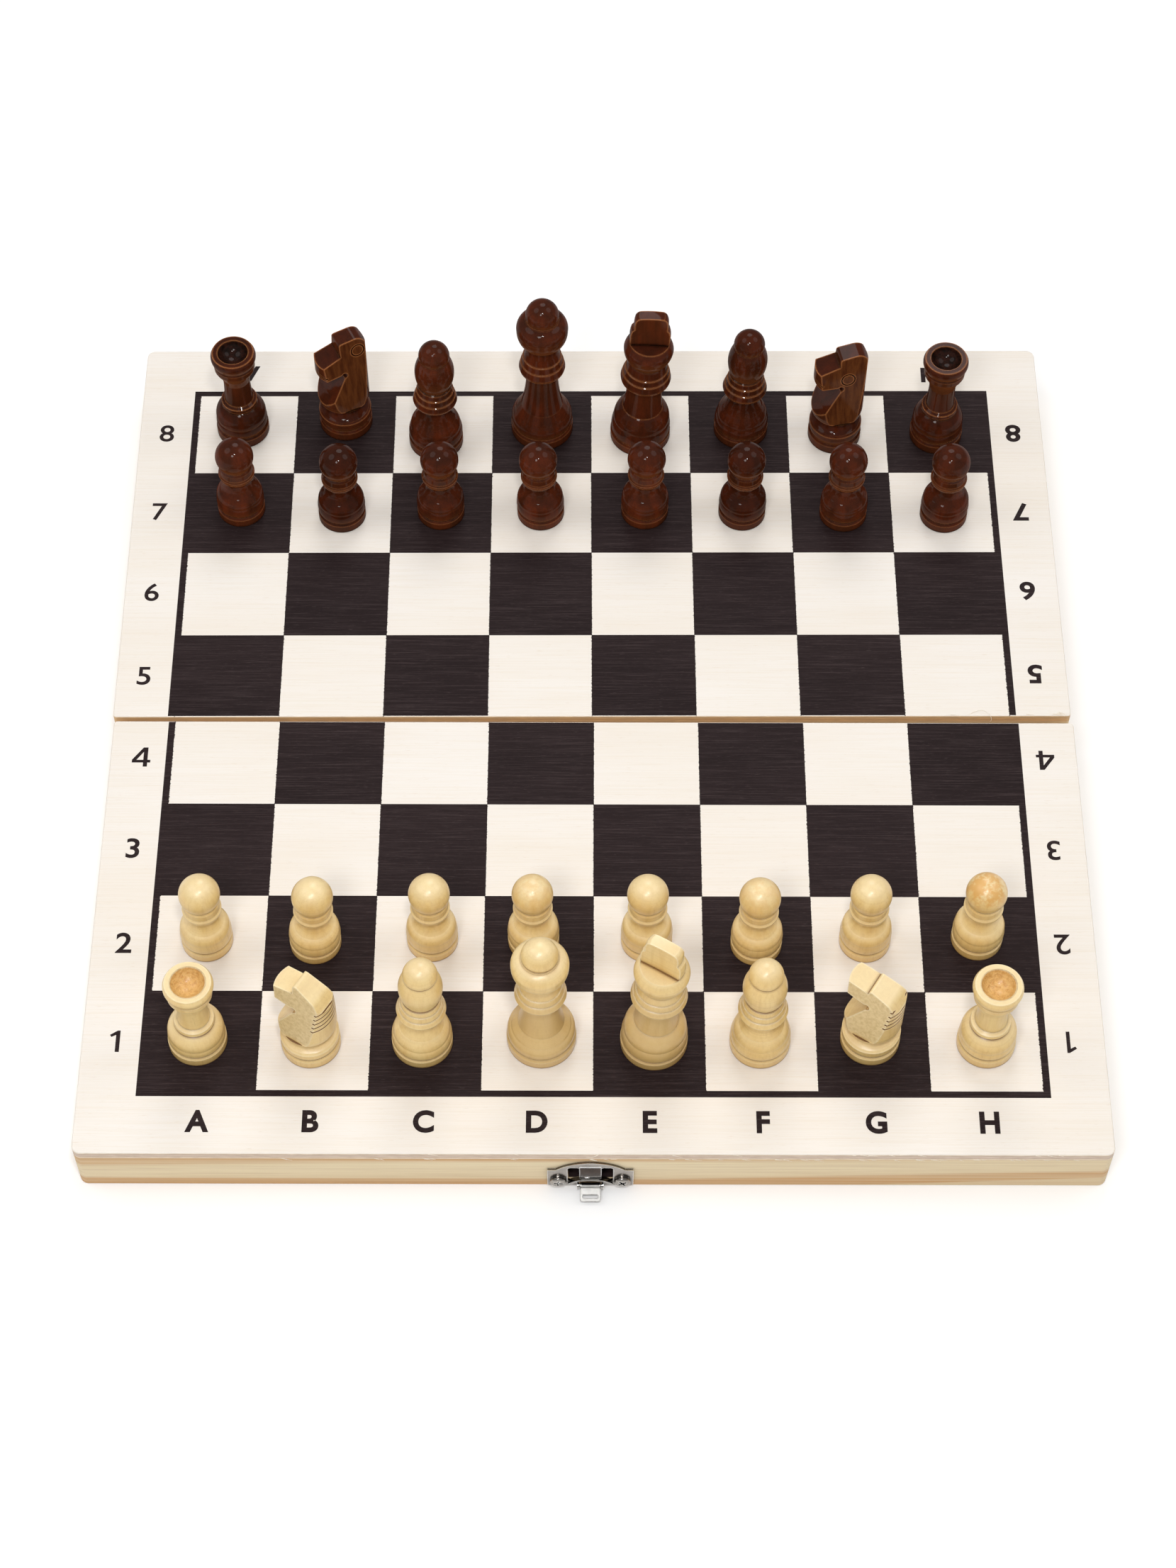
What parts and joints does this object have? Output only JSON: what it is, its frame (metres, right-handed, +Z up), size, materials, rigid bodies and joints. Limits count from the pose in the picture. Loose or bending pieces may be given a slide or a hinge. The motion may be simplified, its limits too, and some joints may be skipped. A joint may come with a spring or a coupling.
{
  "type": "folding chess board",
  "caption": "Folding wooden chess board box with printed squares, hinges, latch and a full set of turned and carved men.",
  "frame": {"origin": "middle of the fold on the hinge axis, at the level of the rims that the open board lies on", "axes": "+X along the fold to the right, +Y from the light men's side to the dark men's side, +Z up"},
  "size_m": [0.291, 0.2981, 0.0804],
  "materials": {
    "birch_ply": "satin",
    "dark_ink": "matte",
    "pine": "satin",
    "nickel": "polished",
    "steel": "satin",
    "light_wood": "satin",
    "dark_wood": "gloss"
  },
  "bodies": {
    "front_half": {"front_panel": "birch_ply", "front_dark_print": "dark_ink", "front_latch_rail": "pine", "front_left_rail": "pine", "front_right_rail": "pine", "front_spine_rail": "pine", "left_hinge_front_leaf": "steel", "right_hinge_front_leaf": "steel", "left_hinge_pin": "steel", "right_hinge_pin": "steel", "hinge_front_screws": "steel", "latch_plate": "nickel", "latch_spring": "nickel", "latch_pin": "nickel", "latch_screws": "nickel"},
    "back_half": {"back_panel": "birch_ply", "back_dark_print": "dark_ink", "back_keeper_rail": "pine", "back_left_rail": "pine", "back_right_rail": "pine", "back_spine_rail": "pine", "left_hinge_back_leaf": "steel", "right_hinge_back_leaf": "steel", "hinge_back_screws": "steel", "keeper_plate": "nickel", "keeper_screws": "nickel"},
    "hasp_body": {"hasp": "nickel"},
    "light_rook_a_body": {"light_rook_a": "light_wood"},
    "light_knight_b_body": {"light_knight_b": "light_wood"},
    "light_bishop_c_body": {"light_bishop_c": "light_wood"},
    "light_queen_body": {"light_queen": "light_wood"},
    "light_king_body": {"light_king": "light_wood"},
    "light_bishop_f_body": {"light_bishop_f": "light_wood"},
    "light_knight_g_body": {"light_knight_g": "light_wood"},
    "light_rook_h_body": {"light_rook_h": "light_wood"},
    "light_pawn_a_body": {"light_pawn_a": "light_wood"},
    "light_pawn_b_body": {"light_pawn_b": "light_wood"},
    "light_pawn_c_body": {"light_pawn_c": "light_wood"},
    "light_pawn_d_body": {"light_pawn_d": "light_wood"},
    "light_pawn_e_body": {"light_pawn_e": "light_wood"},
    "light_pawn_f_body": {"light_pawn_f": "light_wood"},
    "light_pawn_g_body": {"light_pawn_g": "light_wood"},
    "light_pawn_h_body": {"light_pawn_h": "light_wood"},
    "dark_rook_a_body": {"dark_rook_a": "dark_wood"},
    "dark_knight_b_body": {"dark_knight_b": "dark_wood"},
    "dark_bishop_c_body": {"dark_bishop_c": "dark_wood"},
    "dark_queen_body": {"dark_queen": "dark_wood"},
    "dark_king_body": {"dark_king": "dark_wood"},
    "dark_bishop_f_body": {"dark_bishop_f": "dark_wood"},
    "dark_knight_g_body": {"dark_knight_g": "dark_wood"},
    "dark_rook_h_body": {"dark_rook_h": "dark_wood"},
    "dark_pawn_a_body": {"dark_pawn_a": "dark_wood"},
    "dark_pawn_b_body": {"dark_pawn_b": "dark_wood"},
    "dark_pawn_c_body": {"dark_pawn_c": "dark_wood"},
    "dark_pawn_d_body": {"dark_pawn_d": "dark_wood"},
    "dark_pawn_e_body": {"dark_pawn_e": "dark_wood"},
    "dark_pawn_f_body": {"dark_pawn_f": "dark_wood"},
    "dark_pawn_g_body": {"dark_pawn_g": "dark_wood"},
    "dark_pawn_h_body": {"dark_pawn_h": "dark_wood"}
  },
  "joints": [
    {"name": "fold", "type": "hinge", "parent": "front_half", "child": "back_half", "pos_m": [0, 0, 0], "axis": [-1, 0, 0], "range_deg": [0, 180]},
    {"name": "hasp_swing", "type": "hinge", "parent": "front_half", "child": "hasp_body", "pos_m": [-0.0008, -0.1464, 0.00245], "axis": [1, 0, 0], "range_deg": [-60, 78]},
    {"name": "light_rook_a_lift", "type": "slide", "parent": "front_half", "child": "light_rook_a_body", "axis": [0, 0, 1], "range_m": [0, 0.07]},
    {"name": "light_knight_b_lift", "type": "slide", "parent": "front_half", "child": "light_knight_b_body", "axis": [0, 0, 1], "range_m": [0, 0.07]},
    {"name": "light_bishop_c_lift", "type": "slide", "parent": "front_half", "child": "light_bishop_c_body", "axis": [0, 0, 1], "range_m": [0, 0.07]},
    {"name": "light_queen_lift", "type": "slide", "parent": "front_half", "child": "light_queen_body", "axis": [0, 0, 1], "range_m": [0, 0.07]},
    {"name": "light_king_lift", "type": "slide", "parent": "front_half", "child": "light_king_body", "axis": [0, 0, 1], "range_m": [0, 0.07]},
    {"name": "light_bishop_f_lift", "type": "slide", "parent": "front_half", "child": "light_bishop_f_body", "axis": [0, 0, 1], "range_m": [0, 0.07]},
    {"name": "light_knight_g_lift", "type": "slide", "parent": "front_half", "child": "light_knight_g_body", "axis": [0, 0, 1], "range_m": [0, 0.07]},
    {"name": "light_rook_h_lift", "type": "slide", "parent": "front_half", "child": "light_rook_h_body", "axis": [0, 0, 1], "range_m": [0, 0.07]},
    {"name": "light_pawn_a_lift", "type": "slide", "parent": "front_half", "child": "light_pawn_a_body", "axis": [0, 0, 1], "range_m": [0, 0.07]},
    {"name": "light_pawn_b_lift", "type": "slide", "parent": "front_half", "child": "light_pawn_b_body", "axis": [0, 0, 1], "range_m": [0, 0.07]},
    {"name": "light_pawn_c_lift", "type": "slide", "parent": "front_half", "child": "light_pawn_c_body", "axis": [0, 0, 1], "range_m": [0, 0.07]},
    {"name": "light_pawn_d_lift", "type": "slide", "parent": "front_half", "child": "light_pawn_d_body", "axis": [0, 0, 1], "range_m": [0, 0.07]},
    {"name": "light_pawn_e_lift", "type": "slide", "parent": "front_half", "child": "light_pawn_e_body", "axis": [0, 0, 1], "range_m": [0, 0.07]},
    {"name": "light_pawn_f_lift", "type": "slide", "parent": "front_half", "child": "light_pawn_f_body", "axis": [0, 0, 1], "range_m": [0, 0.07]},
    {"name": "light_pawn_g_lift", "type": "slide", "parent": "front_half", "child": "light_pawn_g_body", "axis": [0, 0, 1], "range_m": [0, 0.07]},
    {"name": "light_pawn_h_lift", "type": "slide", "parent": "front_half", "child": "light_pawn_h_body", "axis": [0, 0, 1], "range_m": [0, 0.07]},
    {"name": "dark_rook_a_lift", "type": "slide", "parent": "back_half", "child": "dark_rook_a_body", "axis": [0, 0, 1], "range_m": [0, 0.07]},
    {"name": "dark_knight_b_lift", "type": "slide", "parent": "back_half", "child": "dark_knight_b_body", "axis": [0, 0, 1], "range_m": [0, 0.07]},
    {"name": "dark_bishop_c_lift", "type": "slide", "parent": "back_half", "child": "dark_bishop_c_body", "axis": [0, 0, 1], "range_m": [0, 0.07]},
    {"name": "dark_queen_lift", "type": "slide", "parent": "back_half", "child": "dark_queen_body", "axis": [0, 0, 1], "range_m": [0, 0.07]},
    {"name": "dark_king_lift", "type": "slide", "parent": "back_half", "child": "dark_king_body", "axis": [0, 0, 1], "range_m": [0, 0.07]},
    {"name": "dark_bishop_f_lift", "type": "slide", "parent": "back_half", "child": "dark_bishop_f_body", "axis": [0, 0, 1], "range_m": [0, 0.07]},
    {"name": "dark_knight_g_lift", "type": "slide", "parent": "back_half", "child": "dark_knight_g_body", "axis": [0, 0, 1], "range_m": [0, 0.07]},
    {"name": "dark_rook_h_lift", "type": "slide", "parent": "back_half", "child": "dark_rook_h_body", "axis": [0, 0, 1], "range_m": [0, 0.07]},
    {"name": "dark_pawn_a_lift", "type": "slide", "parent": "back_half", "child": "dark_pawn_a_body", "axis": [0, 0, 1], "range_m": [0, 0.07]},
    {"name": "dark_pawn_b_lift", "type": "slide", "parent": "back_half", "child": "dark_pawn_b_body", "axis": [0, 0, 1], "range_m": [0, 0.07]},
    {"name": "dark_pawn_c_lift", "type": "slide", "parent": "back_half", "child": "dark_pawn_c_body", "axis": [0, 0, 1], "range_m": [0, 0.07]},
    {"name": "dark_pawn_d_lift", "type": "slide", "parent": "back_half", "child": "dark_pawn_d_body", "axis": [0, 0, 1], "range_m": [0, 0.07]},
    {"name": "dark_pawn_e_lift", "type": "slide", "parent": "back_half", "child": "dark_pawn_e_body", "axis": [0, 0, 1], "range_m": [0, 0.07]},
    {"name": "dark_pawn_f_lift", "type": "slide", "parent": "back_half", "child": "dark_pawn_f_body", "axis": [0, 0, 1], "range_m": [0, 0.07]},
    {"name": "dark_pawn_g_lift", "type": "slide", "parent": "back_half", "child": "dark_pawn_g_body", "axis": [0, 0, 1], "range_m": [0, 0.07]},
    {"name": "dark_pawn_h_lift", "type": "slide", "parent": "back_half", "child": "dark_pawn_h_body", "axis": [0, 0, 1], "range_m": [0, 0.07]}
  ]
}
